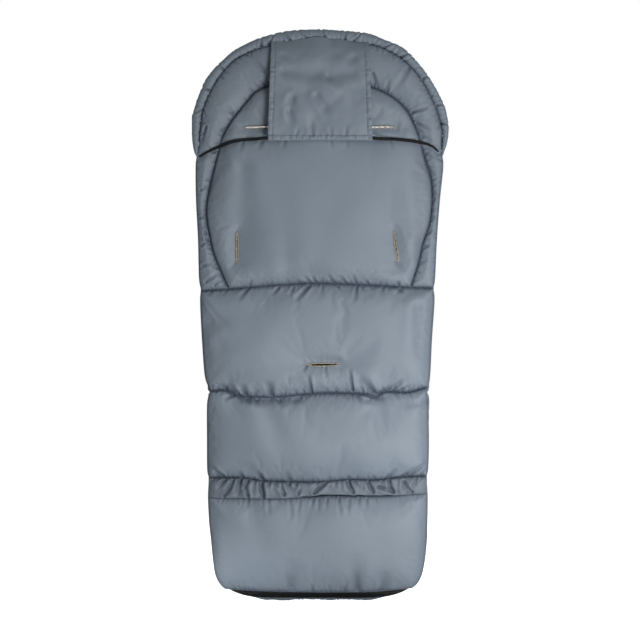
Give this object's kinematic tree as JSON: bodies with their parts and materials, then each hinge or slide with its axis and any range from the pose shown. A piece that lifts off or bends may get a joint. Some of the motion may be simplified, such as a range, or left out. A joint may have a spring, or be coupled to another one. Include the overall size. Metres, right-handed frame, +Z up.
{
  "type": "winter footmuff",
  "caption": "Quilted winter footmuff for a pushchair, seen from its back: gathered hood, backrest flap with elastic, bound harness slots, zipped front cover and a strip over a length zip.",
  "frame": {"origin": "middle of the seam that carries the backrest flap, at the head of the muff: the top of the seat's backrest when the muff hangs on it", "axes": "+Z up towards the head, +Y from the back of the muff to its front cover, +X to the right when looking at the back"},
  "size_m": [0.4534, 0.1356, 1.0085],
  "materials": {
    "shell_nylon": "satin woven nylon, blue-grey",
    "lining_fleece": "brushed cream fleece",
    "wadding": "loose white polyester wadding",
    "slot_binding": "woven tape, pale yellow",
    "elastic": "ribbed woven elastic, black",
    "zip_tape": "woven zip tape, black",
    "zip_coil": "moulded coil, black",
    "zip_metal": "dark enamelled casting"
  },
  "bodies": {
    "muff_back": {"centre_panel_outer": "shell_nylon", "centre_panel_wadding": "wadding", "hood_surround_outer": "shell_nylon", "hood_surround_wadding": "wadding", "seat_panel_outer": "shell_nylon", "seat_panel_wadding": "wadding", "knee_panel_outer": "shell_nylon", "knee_panel_wadding": "wadding", "foot_panel_outer": "shell_nylon", "foot_panel_wadding": "wadding", "back_lining": "lining_fleece", "hood_casing": "shell_nylon", "hood_elastic": "elastic", "shoulder_slot_left_binding": "slot_binding", "shoulder_slot_right_binding": "slot_binding", "waist_slot_left_binding": "slot_binding", "waist_slot_right_binding": "slot_binding", "crotch_slot_binding": "slot_binding", "backrest_elastic": "elastic", "length_zip_tape": "zip_tape", "length_zip_coil": "zip_coil", "zip_tape_back": "zip_tape", "zip_coil_back": "zip_coil", "zip_tape_foot": "zip_tape", "zip_coil_foot": "zip_coil", "toe_panel_outer": "shell_nylon", "toe_panel_wadding": "wadding", "toe_lining": "lining_fleece"},
    "cover": {"cover_cuff": "lining_fleece", "chest_panel_outer": "shell_nylon", "chest_panel_wadding": "wadding", "lap_panel_outer": "shell_nylon", "lap_panel_wadding": "wadding", "shin_panel_outer": "shell_nylon", "shin_panel_wadding": "wadding", "cover_lining": "lining_fleece", "zip_tape_cover_left": "zip_tape", "zip_tape_cover_right": "zip_tape", "zip_coil_cover_left": "zip_coil", "zip_coil_cover_right": "zip_coil"},
    "flap": {"backrest_flap": "shell_nylon"},
    "storm_strip": {"storm_flap": "shell_nylon"},
    "length_slider": {"length_zip_slider": "zip_metal"},
    "slider_left": {"zip_slider_left": "zip_metal"},
    "slider_right": {"zip_slider_right": "zip_metal"},
    "puller_left": {"zip_puller_left": "zip_metal"},
    "puller_right": {"zip_puller_right": "zip_metal"}
  },
  "joints": [
    {"name": "flap_lift", "type": "hinge", "parent": "muff_back", "child": "flap", "pos_m": [0, -0.0065, 0.0008], "axis": [-1, 0, 0], "range_deg": [0, 60], "deforming": ["backrest_elastic"]},
    {"name": "storm_lift", "type": "hinge", "parent": "muff_back", "child": "storm_strip", "pos_m": [0, -0.0032, -0.7774], "axis": [-1, 0, 0], "range_deg": [0, 45]},
    {"name": "cover_fold", "type": "hinge", "parent": "muff_back", "child": "cover", "pos_m": [0, 0.107, -0.79], "axis": [-1, 0, 0], "range_deg": [0, 170]},
    {"name": "zip_run_left", "type": "slide", "parent": "muff_back", "child": "slider_left", "axis": [0.0362, 0, -0.9993], "range_m": [0, 0.62]},
    {"name": "zip_run_right", "type": "slide", "parent": "muff_back", "child": "slider_right", "axis": [-0.0362, 0, -0.9993], "range_m": [0, 0.62]},
    {"name": "puller_swing_left", "type": "hinge", "parent": "slider_left", "child": "puller_left", "pos_m": [-0.20807, 0.0167, -0.28112], "axis": [0, 1, 0], "range_deg": [0, 150]},
    {"name": "puller_swing_right", "type": "hinge", "parent": "slider_right", "child": "puller_right", "pos_m": [0.20807, 0.0167, -0.28112], "axis": [0, -1, 0], "range_deg": [0, 150]},
    {"name": "length_zip_run", "type": "slide", "parent": "muff_back", "child": "length_slider", "axis": [1, 0, 0], "range_m": [0, 0.34]}
  ]
}
